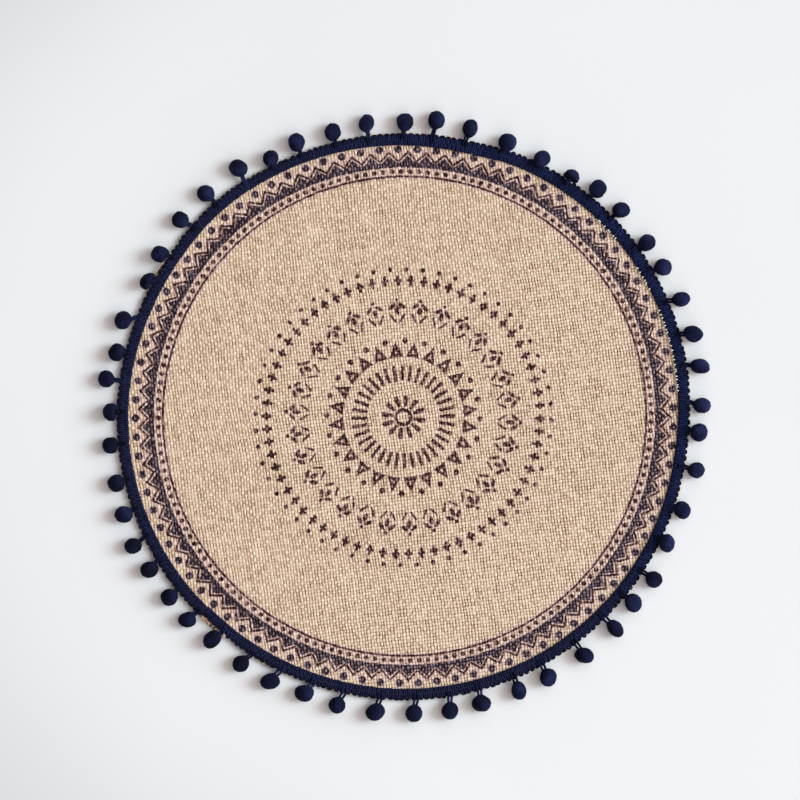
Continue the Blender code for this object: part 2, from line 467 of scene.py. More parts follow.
juteLook = {
    # yarn tones run from painted shade deep between the yarns to a painted highlight on their crowns
    "yarn": (shade(66, 40, 24), shade(166, 132, 103), shade(218, 187, 158), shade(255, 232, 208)),
    "yarnAt": (0.0, 0.30, 0.60, 1.0),
    # ink tones run from painted shade in the gaps, through the ink's own colour, to worn ink and a painted
    # highlight on the crowns
    "ink": (shade(24, 2, 2), shade(73, 39, 36), shade(156, 118, 112)),
    "bandInk": (shade(20, 6, 14), shade(61, 44, 55), shade(146, 127, 135)),
    "inkAt": (0.2, 0.55, 0.95),
    "inkSpread": 0.22,  # in mm
    "inkEdge": (-0.16, 0.18),  # from full ink to none, in mm
    "printedAbove": 0.85,  # height in mm that the print stays above
    "openSide": (-20.0, 50.0),  # mm from the middle towards 4 o'clock, where the weave opens
    "openMiddle": (70.0, 100.0),  # and where the open middle ends
    "stain": (0.93, 0.89, 1.09, 1.0),  # of the cloth close to the print
    "fleck": (*shade(140, 84, 56), 1.0),
}


def openness(board, x, y):
    # 1 where the weave lies more open, to the right and in the middle, and 0 elsewhere
    openSide = board.ease(x * 0.87 - y * 0.5, *juteLook["openSide"])
    start, end = juteLook["openMiddle"]
    openMiddle = board.ease(x * x + y * y, start**2, end**2, 1.0, 0.0)
    return board.high(openSide, openMiddle)


def printedOver(board, colour, place, value, stand, pick):
    # the print takes to the tops of the yarns and misses the gaps
    x, y, z, spot = place
    shapes = medallionShapes(Print(board, x - medallion["middle"][0], y - medallion["middle"][1]))
    borderLines, band = borderShapes(Print(board, x, y))
    lines = board.low(shapes, borderLines) - juteLook["inkSpread"]
    band = band - juteLook["inkSpread"]
    topSide = z > juteLook["printedAbove"]
    stain = board.ease(board.low(board.low(shapes + 0.8, borderLines), band), 0.0, 2.2, 1.0, 0.0)
    colour = board.blend(stain * topSide, colour, juteLook["stain"], "MULTIPLY")
    grain = board.noise(spot, 0.85, roughness=0.6)
    ragged = (grain - 0.5) * 1.3 + (pick - 0.5) * 0.35 + (0.55 - stand) * 0.30
    wear = board.noise(spot, 0.55, detail=3.0, roughness=0.65)
    # the ink's tone follows the cloth's value: painted shade in the gaps and a painted highlight on the
    # crowns, with real wear added
    inkValue = value * 1.35 + (wear - 0.5) * 1.3 - 0.47
    for ink, shape, strength in (("ink", lines, 0.985), ("bandInk", band, 0.98)):
        cover = board.ease(shape + ragged, *juteLook["inkEdge"], 1.0, 0.0)
        inkColour = board.ramp(inkValue, juteLook["inkAt"], juteLook[ink])
        colour = board.blend(cover * topSide * strength, colour, inkColour)
    return colour


def juteMaterial():
    board = Board("juteWeave")
    x, y, _, spot = place = board.place()
    u, v, _ = board.split(board.add("ShaderNodeUVMap", {"uv_map": "yarns"}))
    warp, weft = board.sum("ROUND", u), board.sum("ROUND", v)
    acrossWarp, acrossWeft = u - warp, v - weft

    # each yarn's own size, tone and fibres, which drift along it
    warpTone = board.chance(board.join(warp, 0.0, 3.0))
    weftTone = board.chance(board.join(0.0, weft, 7.0))
    warpDrift = board.noise(board.join(warp * 5.37, v * 0.4, 1.0), 1.0)
    weftDrift = board.noise(board.join(u * 0.4, weft * 5.37, 2.0), 1.0)
    warpFibre = board.noise(board.join(u * 6.0 + v * 1.3, v * 2.0, 4.0), 1.0, detail=3.0)
    weftFibre = board.noise(board.join(u * 2.0, v * 6.0, 5.0), 1.0, detail=3.0)
    pick = board.chance(board.join(warp, weft, 11.0))

    # which yarn is up, and how high each stands: plain weave, over one and under one
    warpWave = board.sum("COSINE", (v + warp) * pi)
    weftWave = board.sum("COSINE", (u + weft) * pi)
    warpWide = warpDrift * 0.45 + 0.17  # half of it, in pitches
    weftWide = weftDrift * 0.50 + 0.22
    warpShare, weftShare = acrossWarp / warpWide, acrossWeft / weftWide
    warpRound = board.root(board.high(1.0 - warpShare * warpShare, 0.0))
    weftRound = board.root(board.high(1.0 - weftShare * weftShare, 0.0))
    opened = openness(board, x, y)
    warpDip = opened * 0.18 + 0.40
    warpHeight = warpRound * (warpWave * warpDip + (1.10 - warpDip))
    weftHeight = weftRound * (0.40 - weftWave * 0.60)
    hole = board.chance(board.join(board.sum("FLOOR", u), board.sum("FLOOR", v), 29.0))
    height = board.high(board.high(warpHeight, weftHeight), hole * 0.9 - 0.35)
    warpUp = warpHeight > weftHeight

    warpSide = (warpTone - 0.5) * 0.08 + (warpDrift - 0.5) * 0.20 + (warpFibre - 0.5) * 1.30
    weftSide = (weftTone - 0.5) * 0.06 + (weftDrift - 0.5) * 0.20 + (weftFibre - 0.5) * 1.30 - 0.21
    tone = weftSide + (warpSide - weftSide) * warpUp
    broad = board.noise(spot, 0.03, detail=3.0)
    tone = tone + (pick - 0.5) * 0.28 + (broad - 0.5) * 0.14
    # painted shade and highlight: the colour darkens the lower a point lies between the yarns and lightens on
    # their crowns, the more so where the weave lies open
    stand = board.ease(height, 0.0, 1.05)
    value = tone + stand * (opened * 0.26 + 0.61) + (0.36 - opened * 0.12)
    colour = board.ramp(value, juteLook["yarnAt"], juteLook["yarn"])

    # bits of bark left in the yarn
    bark = board.noise(board.join(u, v * 0.35, 20.0), 1.0)
    fleck = board.ease(bark, 0.72, 0.80) * 0.7
    colour = board.blend(fleck, colour, juteLook["fleck"])
    colour = printedOver(board, colour, place, value, stand, pick)

    fuzz = board.noise(spot, 6.0)
    relief = height + warpFibre * 0.16 * warpUp + fuzz * 0.10
    roughness = board.ease(fuzz, 0.2, 0.8, 0.80, 0.98)
    return board.surface(colour, roughness, board.bump(relief, 0.34 * mm, 0.6), specular=0.1)


def clothLattice():
    # crossings, where yarns cross, and holes, between four of them: places and heights
    chance = np.random.default_rng(11)
    warps, wefts = cloth["reach"]
    i, j = np.meshgrid(np.arange(-warps, warps + 1), np.arange(-wefts, wefts + 1), indexing="ij")
    flat = columns(i * cloth["warpPitch"], j * cloth["weftPitch"])

    def waves(name, seed):
        warpWave, weftWave, size = cloth[name]
        return columns(ripple(flat, warpWave, seed), ripple(flat, weftWave, seed + 1)) * size

    warpStray = chance.normal(0, cloth["straySpread"], i.shape[0])[:, None]
    weftStray = chance.normal(0, cloth["straySpread"], i.shape[1])[None, :]
    flat = flat + waves("sway", 1) + waves("waver", 3) + chance.normal(0, cloth["crossingStray"], flat.shape)
    flat[..., 0] += warpStray
    flat[..., 1] += weftStray

    def slubs(count, length, seed):
        # each yarn's own size, thicker in some stretches
        rough = np.random.default_rng(seed).normal(size=(count, length + 12))
        even = np.array([np.convolve(row, np.ones(7) / 7, mode="same")[6:-6] for row in rough]) * 2.2
        own = np.random.default_rng(seed + 1).normal(size=(count, 1))
        return (own * 0.6 + even * 0.8) * cloth["sizeSpread"]

    warpSize = slubs(i.shape[0], i.shape[1], 21)
    weftSize = slubs(i.shape[1], i.shape[0], 31).T
    warpUp = (i + j) % 2 == 0
    crown = np.where(warpUp, cloth["warpTop"], cloth["weftTop"])
    crown = crown + cloth["crownSwell"] * np.clip(np.where(warpUp, warpSize, weftSize), -0.4, 0.4)
    slant = radians(cloth["slant"])
    across, along = np.array([cos(slant), sin(slant)]), np.array([-sin(slant), cos(slant)])

    def turned(places):
        return places[..., :1] * across + places[..., 1:] * along

    def corners(values):
        return (values[:-1, :-1] + values[1:, :-1] + values[:-1, 1:] + values[1:, 1:]) / 4

    holeFlat = corners(flat)
    full = corners(warpSize + weftSize)
    hole = cloth["hole"] + cloth["holeSwell"] * np.clip(full, -0.5, 0.7)
    under = np.where((i + j)[1:, 1:] % 2 == 0, 0.0, cloth["underLift"]) * np.clip(1 + full, 0.5, 1.5)
    return turned(flat), crown, turned(holeFlat), hole, under, (i, j)


def clothCut(turn):
    # the raw edge stays under the braid's own edge, but for where it shows
    shown = np.zeros(np.shape(turn))
    for start, end in cloth["shows"]:
        past = (np.asarray(turn) - start) % 360
        inside = np.minimum(past, end - start - past)
        shown = np.maximum(shown, np.clip(inside / cloth["showRun"] + 0.5, 0, 1))
    edge, (outer, _) = edgeAt(turn, clothEdge), braidEdges(turn)
    under = np.minimum(edge, outer) - cloth["tuckedIn"]
    return under + (edge - under) * shown


def clothFaces(kept):
    # the faces of upper side, under side and cut edge, by the numbers of their points: crossings
    # first, then holes, then the holes' points on the under side
    crossIndex = np.arange(kept.size).reshape(kept.shape)
    holes = (kept.shape[0] - 1, kept.shape[1] - 1)
    holeIndex = kept.size + np.arange(holes[0] * holes[1]).reshape(holes)

    # hole [a, b] is the corner below and left of crossing [a + 1, b + 1]
    a, b = np.nonzero(kept)
    centre, above = crossIndex[a, b], crossIndex[a, b + 1]
    ring = [holeIndex[a - 1, b - 1], holeIndex[a, b - 1], holeIndex[a, b], holeIndex[a - 1, b]]
    below = [corner + holeIndex.size for corner in ring]
    # whether there is another crossing below, to the right, above and to the left
    neighbours = (kept[a, b - 1], kept[a + 1, b], kept[a, b + 1], kept[a - 1, b])
    top, walls = [], []
    for start, neighbour in enumerate(neighbours):
        end = (start + 1) % 4
        spanned = neighbour & (start % 2 == 0)  # there a ridge runs on to the next crossing
        top.append(columns(centre, ring[start], ring[end])[~spanned])
        walls.append(columns(ring[end], ring[start], below[start], below[end])[~neighbour])
    top.append(columns(centre, ring[2], above)[neighbours[2]])
    top.append(columns(centre, above, ring[3])[neighbours[2]])
    bottom = columns(below[0], below[3], below[2], below[1])
    return [np.concatenate(top), bottom, np.concatenate(walls)]


def buildCloth(material):
    crossing, crown, hole, holeHeight, under, (i, j) = clothLattice()

    def lie(places, heights):
        # pressed a little where the braid is sewn on
        turn, out = clockOf(places)
        inside = edgeAt(turn, braidEdge) - edgeAt(turn, braidWidth)
        press = np.clip((out - inside) / cloth["pressWidth"] + 0.5, 0, 1) * cloth["pressed"]
        return np.concatenate([places, (heights - press)[..., None]], axis=-1)

    turn, out = clockOf(crossing)
    kept = out < clothCut(turn) - cloth["cutMargin"]
    groups = clothFaces(kept)

    # the cut edge runs along its line, a little unevenly
    rim = np.unique(groups[2][:, :2]) - kept.size
    holePlaces = hole.reshape(-1, 2)
    turn, out = clockOf(holePlaces[rim])
    cut = clothCut(turn) - np.random.default_rng(5).uniform(0.0, cloth["cutStray"], len(rim))
    holePlaces[rim] *= (cut / out)[:, None]
    hole = holePlaces.reshape(hole.shape)

    underside = np.concatenate([hole, under[..., None]], axis=-1)
    layers = (lie(crossing, crown), lie(hole, holeHeight), underside)
    points = np.concatenate([layer.reshape(-1, 3) for layer in layers])
    atCrossing = columns(i, j).astype(float)
    atHole = atCrossing[1:, 1:] - 0.5
    yarns = np.concatenate([layer.reshape(-1, 2) for layer in (atCrossing, atHole, atHole)])
    used = np.unique(np.concatenate([group.ravel() for group in groups]))
    renumber = np.zeros(len(points), int)
    renumber[used] = np.arange(len(used))
    groups = [renumber[group] for group in groups]
    points, yarns = points[used], yarns[used]
    faces = [face for group in groups for face in group.tolist()]
    piece = newPiece("juteCloth", (points, faces), material)
    giveMap(piece, "yarns", yarns)

    # a flat layout: the upper side large with the cut edge round it, and the under side small
    places = []
    for group, (size, middle) in zip(groups, cloth["layouts"]):
        corners = points[group.ravel()]
        spread = 1 + 0.02 * (corners[:, 2:] < 0.8 * mm) * (group is groups[2])
        places.append(corners[:, :2] / cloth["layoutRadius"] * size * spread + middle)
    piece.data.uv_layers.new(name="OFBake").data.foreach_set("uv", np.concatenate(places).ravel())
    return piece


# braid
braid = {
    "joinTurn": 225.6,  # in degrees, as the overlap
    "overlap": 0.06,
    "startOuter": 190.2 * mm,
    "startRun": 9,  # degrees in which it comes back to the braid's own line
    "endOuter": 188.1 * mm,
    "endRun": 10,
    "endNarrower": 1.3 * mm,
    "ribs": 779,
    "stepsPerRib": 4,
    "bottom": 1.86 * mm,
    "top": 3.45 * mm,
    "across": (0.0, 0.03, 0.10, 0.20, 0.32, 0.44, 0.56, 0.68, 0.80, 0.90, 0.97, 1.0),
    "acrossBelow": (0.98, 0.5, 0.02),
    "ribHeight": 0.30 * mm,
    "ribStray": 0.10 * mm,
    "grooves": (0.36 * mm, 0.30 * mm),  # how far they cut in on the inner and the outer side
    "ribLean": 0.16,
    "picots": 290,
    "picotStray": 0.16,  # of their spacing
    "picotSpan": (0.24, 0.38),
    "picotReach": 1.15 * mm,
    "picotFoot": 0.5 * mm,
    "picotRadius": 0.70 * mm,
    "picotHeight": 2.62 * mm,
    "picotArch": 0.25 * mm,
    "stitches": 372,
    "stitchAt": 0.56,  # of the width, from the outer side
    "stitchRing": 187 * mm,
    "stitchLength": 2.5 * mm,
    "stitchRadius": 0.20 * mm,
}


def braidEdges(turn):
    # the braid's outer edge and width: one end sits further out than the other at the join
    turn = np.asarray(turn, float)
    lap = (turn - braid["joinTurn"]) % 360
    outer, width = edgeAt(turn, braidEdge), edgeAt(turn, braidWidth)
    start = np.clip(1 - lap / braid["startRun"], 0, 1) ** 1.5
    end = np.clip(1 - (360 - lap) / braid["endRun"], 0, 1) ** 1.5
    moved = (braid["startOuter"] - outer) * np.minimum(1, start * 2)
    moved = moved + (braid["endOuter"] - outer) * np.minimum(1, end * 2)
    return outer + moved, width - braid["endNarrower"] * end


def braidBand():
    steps = braid["ribs"] * braid["stepsPerRib"]
    step = np.arange(steps + 1)
    turn = braid["joinTurn"] - braid["overlap"] + (360 + 2 * braid["overlap"]) * step / steps
    rib = step / braid["stepsPerRib"]
    outer, width = braidEdges(turn)
    inner = outer - width
    chance = np.random.default_rng(8)
    ribStray = np.interp(rib, np.arange(braid["ribs"] + 1), chance.normal(0, 1, braid["ribs"] + 1))
    swell = (1 + np.cos(2 * pi * rib)) / 2  # 1 on a rib, 0 in a groove
    innerGroove, outerGroove = braid["grooves"]
    outer = outer - braid["picotReach"] - outerGroove * (1 - swell) + braid["ribStray"] * ribStray
    inner = inner + innerGroove * (1 - swell) + braid["ribStray"] * ribStray

    # ribs lean to one side and the other by turns, and four chains run along the braid
    share = np.array(braid["across"])
    crown = (1 - np.abs(2 * share - 1) ** 5) ** 0.5
    chain = 0.5 + 0.5 * np.cos(2 * pi * (share * 4 - 0.5))
    relief = (swell[:, None] * 2 - 1) * (0.75 + 0.25 * chain) + 0.35 * ribStray[:, None] + 0.5 * (chain - 0.5)
    height = braid["bottom"] + (braid["top"] - braid["bottom"]) * (0.25 + 0.75 * crown)
    height = height + braid["ribHeight"] * crown * relief
    pair = np.where(np.floor(rib + 0.5) % 2 == 0, 1.0, -1.0)
    lean = braid["ribLean"] * (2 * share - 1) * pair[:, None] * (360 / braid["ribs"])
    below = np.array(braid["acrossBelow"])

    def outAt(across):
        return inner[:, None] + (outer - inner)[:, None] * across

    upper = onClock(turn[:, None] + lean, outAt(share), height)
    lower = onClock(turn[:, None], outAt(below), braid["bottom"])
    rings = np.concatenate([upper, lower], axis=1)
    index = np.arange(rings.size // 3).reshape(rings.shape[:2])
    here, after = index[:-1], index[1:]
    faces = columns(here, np.roll(here, -1, axis=1), np.roll(after, -1, axis=1), after)
    faces = faces.reshape(-1, 4).tolist() + [index[0, ::-1].tolist(), index[-1].tolist()]
    ribs = columns(rib[:, None], np.concatenate([share, below]))
    return (rings.reshape(-1, 3), faces), ribs.reshape(-1, 2)


def braidPicots():
    # small close loops, nearly bumps, along the outer side
    chance = np.random.default_rng(9)
    count = braid["picots"]
    number = np.arange(count) + 0.5 + chance.uniform(-braid["picotStray"], braid["picotStray"], count)
    middle = braid["joinTurn"] + 360 * number / count
    across = np.linspace(-1, 1, 9)
    span = 360 / count * chance.uniform(*braid["picotSpan"], count)
    reach = chance.uniform(0.0, 1.1, count) * (braid["picotReach"] - braid["picotRadius"])
    turn = middle[:, None] + span[:, None] * across
    outer, _ = braidEdges(turn)
    foot = outer - braid["picotReach"] - braid["picotFoot"]
    arch = np.sqrt(1 - across**2 * 0.999)
    out = foot + (reach[:, None] + braid["picotFoot"]) * arch
    stray = chance.uniform(-0.18, 0.22, count)[:, None] * mm
    height = braid["picotHeight"] + braid["picotArch"] * arch + stray
    return tubes(onClock(turn, out, height), braid["picotRadius"], 6)


def braidStitches():
    count = braid["stitches"]
    chance = np.random.default_rng(10)
    turn = braid["joinTurn"] + 360 * (np.arange(count) + 0.5) / count
    outer, width = braidEdges(turn)
    middle = outer - width * braid["stitchAt"] + chance.uniform(-0.25, 0.25, count) * mm
    along = np.linspace(-0.5, 0.5, 5)
    turns = turn[:, None] + turnOver(along * braid["stitchLength"], braid["stitchRing"])
    height = braid["top"] + (0.02 + 0.20 * (1 - (2 * along) ** 4)) * mm
    return tubes(onClock(turns, middle[:, None], height), braid["stitchRadius"], 5)


navyLook = {
    "braid": (shade(2, 3, 10), shade(13, 16, 42), shade(46, 49, 85)),  # painted shade in the grooves, the yarn, and a painted highlight on the crowns
    "picot": (shade(3, 3, 10), shade(15, 17, 36), shade(36, 38, 64)),
    "ball": (shade(5, 7, 22), shade(16, 21, 51), shade(37, 43, 82)),
    "fuzz": (shade(9, 12, 34), shade(25, 31, 66), shade(46, 54, 98)),
    "bluer": (0.84, 1.18, 1.34, 1.0),  # of the braid towards the right
}


def braidMaterial():
    board = Board("braidYarn")
    x, y, _, spot = board.place()
    rib, across, _ = board.split(board.add("ShaderNodeUVMap", {"uv_map": "ribs"}))
    swell = board.sum("COSINE", rib * (2 * pi)) * 0.5 + 0.5
    twist = board.noise(board.join(rib * 2.0, across * 9.0, 0.0), 1.0)
    fibre = board.noise(spot, 3.0, detail=3.0, roughness=0.6)
    pick = board.chance(board.join(board.sum("ROUND", rib), board.sum("ROUND", across * 4.0), 0.0))
    paintedRibShade = board.ease(y, -185.0, -90.0, 0.66, 0.38)  # painted shade: grooves darker and crowns lighter, most strongly at the near side
    value = (swell - 0.5) * paintedRibShade + twist * 0.34 + fibre * 0.20 + pick * 0.18
    # painted shade: the whole braid a little darker at the near side
    value = value + (0.23 - paintedRibShade * 0.15)
    colour = board.ramp(value, (0.22, 0.50, 0.82), navyLook["braid"])
    colour = board.blend(board.ease(x + y * 0.5, 0.0, 180.0), colour, navyLook["bluer"], "MULTIPLY")
    relief = board.bump(twist * 0.6 + fibre * 0.4, 0.18 * mm, 0.7)
    return board.surface(colour, board.ease(fibre, 0.3, 0.7, 0.75, 1.0), relief, specular=0.1)


def navyMaterial(name, tones, fibreScale, bumpSize):
    board = Board(name)
    x, y, _, spot = board.place()
    strand = board.noise(spot, fibreScale, detail=3.0, roughness=0.6)
    patch = board.noise(spot, 0.09, detail=1.0)
    # the x and y term is painted shade: the navy yarn is a little darker towards the lower left and lighter
    # towards the upper right
    value = strand * 0.55 + patch * 0.75 - 0.15 + (x + y * 0.35) * 0.0003
    colour = board.ramp(value, (0.30, 0.52, 0.74), tones)
    roughness = board.ease(strand, 0.3, 0.7, 0.82, 1.0)
    return board.surface(colour, roughness, board.bump(strand, bumpSize, 0.6), specular=0.13)


# pompoms
pompom = {
    "size": 11.5 * mm,
    "flatter": 0.94,  # height for its width
    "sizeSpread": 0.04,
    "sizeWave": 2.4,
    "lumps": ((1.5, 200, 5, 0.035), (0.5, 300, 9, 0.014)),  # length, seed, waves, and how much
    "neckFrom": 0.72,  # the cosine to its thread from which a ball is drawn out
    "neckPull": 0.4 * mm,
    "threadRoot": (186 * mm, 3.2 * mm),  # how far out and how high the threads leave the braid
    "clearance": 0.3 * mm,
    "clothThickness": 1.8 * mm,
    "tucked": 0.8 * mm,  # how far a ball reaches in under the braid's edge
    "tuckSlope": 0.3,
    "tuckSoftness": 1.0 * mm,
    "cuts": 15,
    "fibres": 420,
    "fibreRoot": 0.2 * mm,  # how deep in the ball a fibre starts
    "fibreSpread": 0.45,
    "fibreLength": (0.36, 0.70),  # in mm
    "fibreThick": (0.055 * mm, 0.012 * mm),
    "strandRadius": 0.82 * mm,
    "strandRoot": (0.45, 0.7),  # of the braid's width, from its outer side
    "onTop": (20.7, 28.2, 115.6),  # those that lie on the braid, by their turn
    "parted": (130, 210),  # between these turns the two strands hang apart
    "strandGap": ((0.55, 0.85), (0.94, 1.08)),  # in mm, and where they hang apart
    # at a turn, how far round from its ball a thread comes off the braid, in degrees
    "threadShift": (
        (-7, 0), (0, -0.4), (13, -0.4), (40, 0), (67, -0.7), (88, -0.8), (100, -0.2), (135, 0),
        (165, -0.3), (200, -1.0), (220, -0.6), (239, 0.8), (251, 0.4), (277, 0), (289, 1.5), (311, 0.7),
        (326, -0.5), (340, 0), (353, 0), (360, -0.4),
    ),
    # a thread's two strands from their root to the ball: how far apart, and how high in mm
    "strandSpread": (1.0, 1.1, 1.15, 1.15, 1.1, 1.0, 0.9),
    "strandLift": (-0.5, 0.42, 0.55, 0.30, 0.05, 0.0, 0.0),
}
# each one's turn in degrees, its tip's distance from the middle in mm, how much longer than wide
# it is, and how far its long way leans clockwise from straight out
pompomRows = (
    (0.3, 202, 1.05, 0), (6.3, 204.5, 1.03, -20), (13, 203, 1.22, 0), (20.7, 201, 1, 0),
    (28.2, 200.5, 1.15, 15), (35, 199.5, 1, 0), (40.4, 205, 1.08, -10), (46.4, 205, 1.16, 35),
    (54.4, 205, 1.22, 0), (60, 205, 1.03, 0), (67, 206.5, 1.2, 15), (74, 206.5, 1.25, 35),
    (80.3, 206.3, 1.3, 20), (87.8, 204.5, 1.15, 5), (93, 202.5, 1, 0), (100.3, 203.5, 1.1, -20),
    (108.4, 201, 1.15, 30), (115.6, 199.5, 1.15, 55), (123, 204, 1.05, -20), (129, 202.8, 1.15, 15),
    (135, 205, 1.22, 0), (142.8, 205, 1.3, -40), (151, 203.8, 1.12, 44), (157.2, 203.5, 1.25, 18),
    (164.8, 203, 1.15, -65), (171, 203.5, 1.03, 0), (178, 203, 1.05, 0), (185.5, 203, 1.15, 55),
    (193, 202.3, 1.04, 0), (199.8, 200.5, 1.18, 80), (206.8, 202.5, 1.22, 58), (213.4, 202.2, 1.1, 0),
    (220.7, 201.7, 1.25, 0), (226.8, 202.8, 1.15, 33), (232.4, 202.2, 1.05, 0), (239, 203.2, 1.15, 20),
    (244.5, 205, 1.1, 25), (250.8, 202.8, 1, 0), (257, 201.5, 1.03, 0), (264.5, 201.4, 1.05, 0),
    (271, 200, 1, 0), (277.3, 204.5, 1.05, 80), (282.7, 201, 1, 0), (289, 202.8, 1.08, 90),
    (298, 197, 1.25, -68), (303.7, 200.5, 1.15, -13), (311.4, 204, 1.08, 9), (318.5, 204, 1.05, 0),
    (326.4, 204.8, 1.15, -26), (332.8, 198.7, 1.1, 47), (338.7, 201.8, 1.12, 15), (346, 201, 1.08, 14),
    (352.8, 202.5, 1.2, 28),
)


def pompomPlaces():
    turn, tip, stretch, lean = np.array(pompomRows, float).T
    tip, lean = tip * mm, np.radians(lean)
    number = np.arange(len(turn))
    size = pompom["size"] * (1 + pompom["sizeSpread"] * np.sin(pompom["sizeWave"] * number))
    long, wide = size / 2 * np.sqrt(stretch), size / 2 / np.sqrt(stretch)
    reach = tip - np.hypot(long * np.cos(lean), wide * np.sin(lean))
    radius = size / 2 * pompom["flatter"]
    beside = reach - edgeAt(turn, clothEdge)
    clear = size / 2 + pompom["clearance"]
    raised = pompom["clothThickness"] + np.sqrt(np.maximum(clear**2 - np.maximum(beside, 0) ** 2, 0))
    height = np.where(beside >= clear, radius, np.maximum(radius, raised))
    footTurn = turn + np.interp(turn, *zip(*pompom["threadShift"]))
    settings = {
        "turn": turn,
        "centre": onClock(turn, reach, height),
        "half": columns(long, wide, radius),
        "lean": lean,
        "footTurn": footTurn,
        "onTop": np.isin(np.round(turn, 1), pompom["onTop"]),
    }
    return [dict(zip(settings, row)) for row in zip(*settings.values())]


def ballShape(cuts):
    # an even ball of four-sided faces, from a cube
    shape = bmesh.new()
    bmesh.ops.create_cube(shape, size=2.0)
    bmesh.ops.subdivide_edges(shape, edges=shape.edges, cuts=cuts, use_grid_fill=True)
    points = np.array([vert.co[:] for vert in shape.verts])
    shape.verts.index_update()
    faces = [[vert.index for vert in face.verts] for face in shape.faces]
    shape.free()
    squares = points**2
    other, another = np.roll(squares, 1, axis=1), np.roll(squares, 2, axis=1)
    return points * np.sqrt(1 - other / 2 - another / 2 + other * another / 3), faces


def pompomForm(plain, ball, number):
    # an egg, leaning in the mat's plane, lumpy, and drawn out towards its thread
    outwards = onClock(ball["turn"], 1.0, 0.0)
    side = np.cross(upwards, outwards)
    c, s = cos(ball["lean"]), sin(ball["lean"])
    axes = np.stack([outwards * c - side * s, outwards * s + side * c, upwards])
    lump = 0
    for long, seed, waves, much in pompom["lumps"]:
        lump = lump + ripple(plain, long, seed + number, waves) * much
    points = plain * (1 + lump)[:, None] * ball["half"] @ axes
    toThread = unit(onClock(ball["footTurn"], *pompom["threadRoot"]) - ball["centre"])
    near = (unit(points) @ toThread - pompom["neckFrom"]) / (1 - pompom["neckFrom"])
    points += np.clip(near, 0, 1)[:, None] ** 1.6 * pompom["neckPull"] * toThread
    points += ball["centre"]
    points[:, 2] = np.maximum(points[:, 2], 0.02 * mm)
    return points


def tuckUnder(points, ball):
    # a ball that the braid's edge lies over bulges out beside it
    if ball["onTop"]:
        return points
    turn, radius = clockOf(points)
    outer, _ = braidEdges(turn)
    face = outer - pompom["tucked"] + np.maximum(points[:, 2] - braid["top"], 0) * pompom["tuckSlope"]
    past = radius - face
    pushed = face + (past + np.sqrt(past**2 + pompom["tuckSoftness"] ** 2)) / 2
    points[:, :2] *= (pushed / radius)[:, None]
    return points


def buildPompoms(placed, material, fuzzMaterial):
    plain, faces = ballShape(pompom["cuts"])
    balls, spikes = [], []
    for number, ball in enumerate(placed):
        chance = np.random.default_rng(100 + number)
        points = tuckUnder(pompomForm(plain, ball, number), ball)
        balls.append((points, faces))
        count = pompom["fibres"]
        picked = chance.choice(len(points), count, replace=False)
        away = unit(points[picked] - ball["centre"])
        root = points[picked] - away * pompom["fibreRoot"]
        way = unit(away + chance.normal(0, pompom["fibreSpread"], (count, 3)))
        end = root + way * chance.uniform(*pompom["fibreLength"], (count, 1)) * mm
        end[:, 2] = np.maximum(end[:, 2], 0.05 * mm)
        spikes.append(np.stack([root, end], axis=1))
    fuzz = tubes(np.concatenate(spikes), pompom["fibreThick"], 3)
    return [
        newPiece("pompomBalls", gathered(balls), material),
        newPiece("pompomFuzz", fuzz, fuzzMaterial),
    ]


def pompomStrands(placed):
    # a doubled thread for each: over the braid, out past its edge and into the ball
    routes = []
    for number, ball in enumerate(placed):
        chance = np.random.default_rng(400 + number)
        turn, centre = ball["footTurn"], ball["centre"]
        outer, width = (float(value) for value in braidEdges(turn))
        foot = onClock(turn, outer - width * chance.uniform(*pompom["strandRoot"]), braid["top"])
        edge = onClock(turn, outer - 0.6 * mm, braid["top"] - 0.1 * mm)
        along = unit((centre - foot) * (1, 1, 0))
        neck = centre - along * ball["half"][1] * 0.9
        marks = [foot, foot + along * 0.6 * mm, (foot + edge) / 2, edge, (edge + neck) / 2, neck, centre]
        marks = np.array(marks) + np.outer(pompom["strandLift"], upwards * mm)
        parted = pompom["parted"][0] < ball["turn"] < pompom["parted"][1]
        gap = chance.uniform(*pompom["strandGap"][int(parted)]) * mm
        for way in (-1, 1):
            stops = marks + np.outer(pompom["strandSpread"], np.cross(upwards, along) * way * gap)
            at = np.linspace(0, len(stops) - 1, 16)
            route = columns(*(np.interp(at, np.arange(len(stops)), axis) for axis in stops.T))
            route[1:-1] = (route[:-2] + route[1:-1] * 2 + route[2:]) / 4
            routes.append(route)
    return tubes(np.array(routes), pompom["strandRadius"], 6)


# loose jute at the cut edge
looseJute = {
    # from and to in degrees, how many ends, how far past the cloth's edge and how much raised, in mm
    "stretches": (
        (219, 226, 26, 1.3, 1.9), (326, 374, 46, 1.3, 0), (296, 306, 12, 1.2, 0), (30, 215, 30, 0.8, 0),
        (228, 296, 22, 0.9, 0), (98, 110, 30, 2.4, 0), (193, 199, 18, 2.2, 0), (207, 212, 12, 2.2, 0),
    ),
    "tuckedIn": 2.5 * mm,
    "swing": 1.1,  # how far an end strays along the rim, in mm, as the thickness
    "waver": 0.25 * mm,
    "rim": 190 * mm,
    "thick": (0.10, 0.34),
    # one end that has come loose and lies along the braid's outer side: its turns, then
    # its distances from the middle and its heights in mm
    "stray": {"turns": (299.0, 305.2), "out": (191.3, 189.2), "heights": (1.8, 4.3), "thick": 0.34},
}
looseTones = {
    "jute": (shade(172, 142, 116), shade(224, 200, 174), shade(255, 240, 220)),
    "thread": (shade(236, 222, 206), shade(250, 243, 232), shade(255, 252, 246)),
}


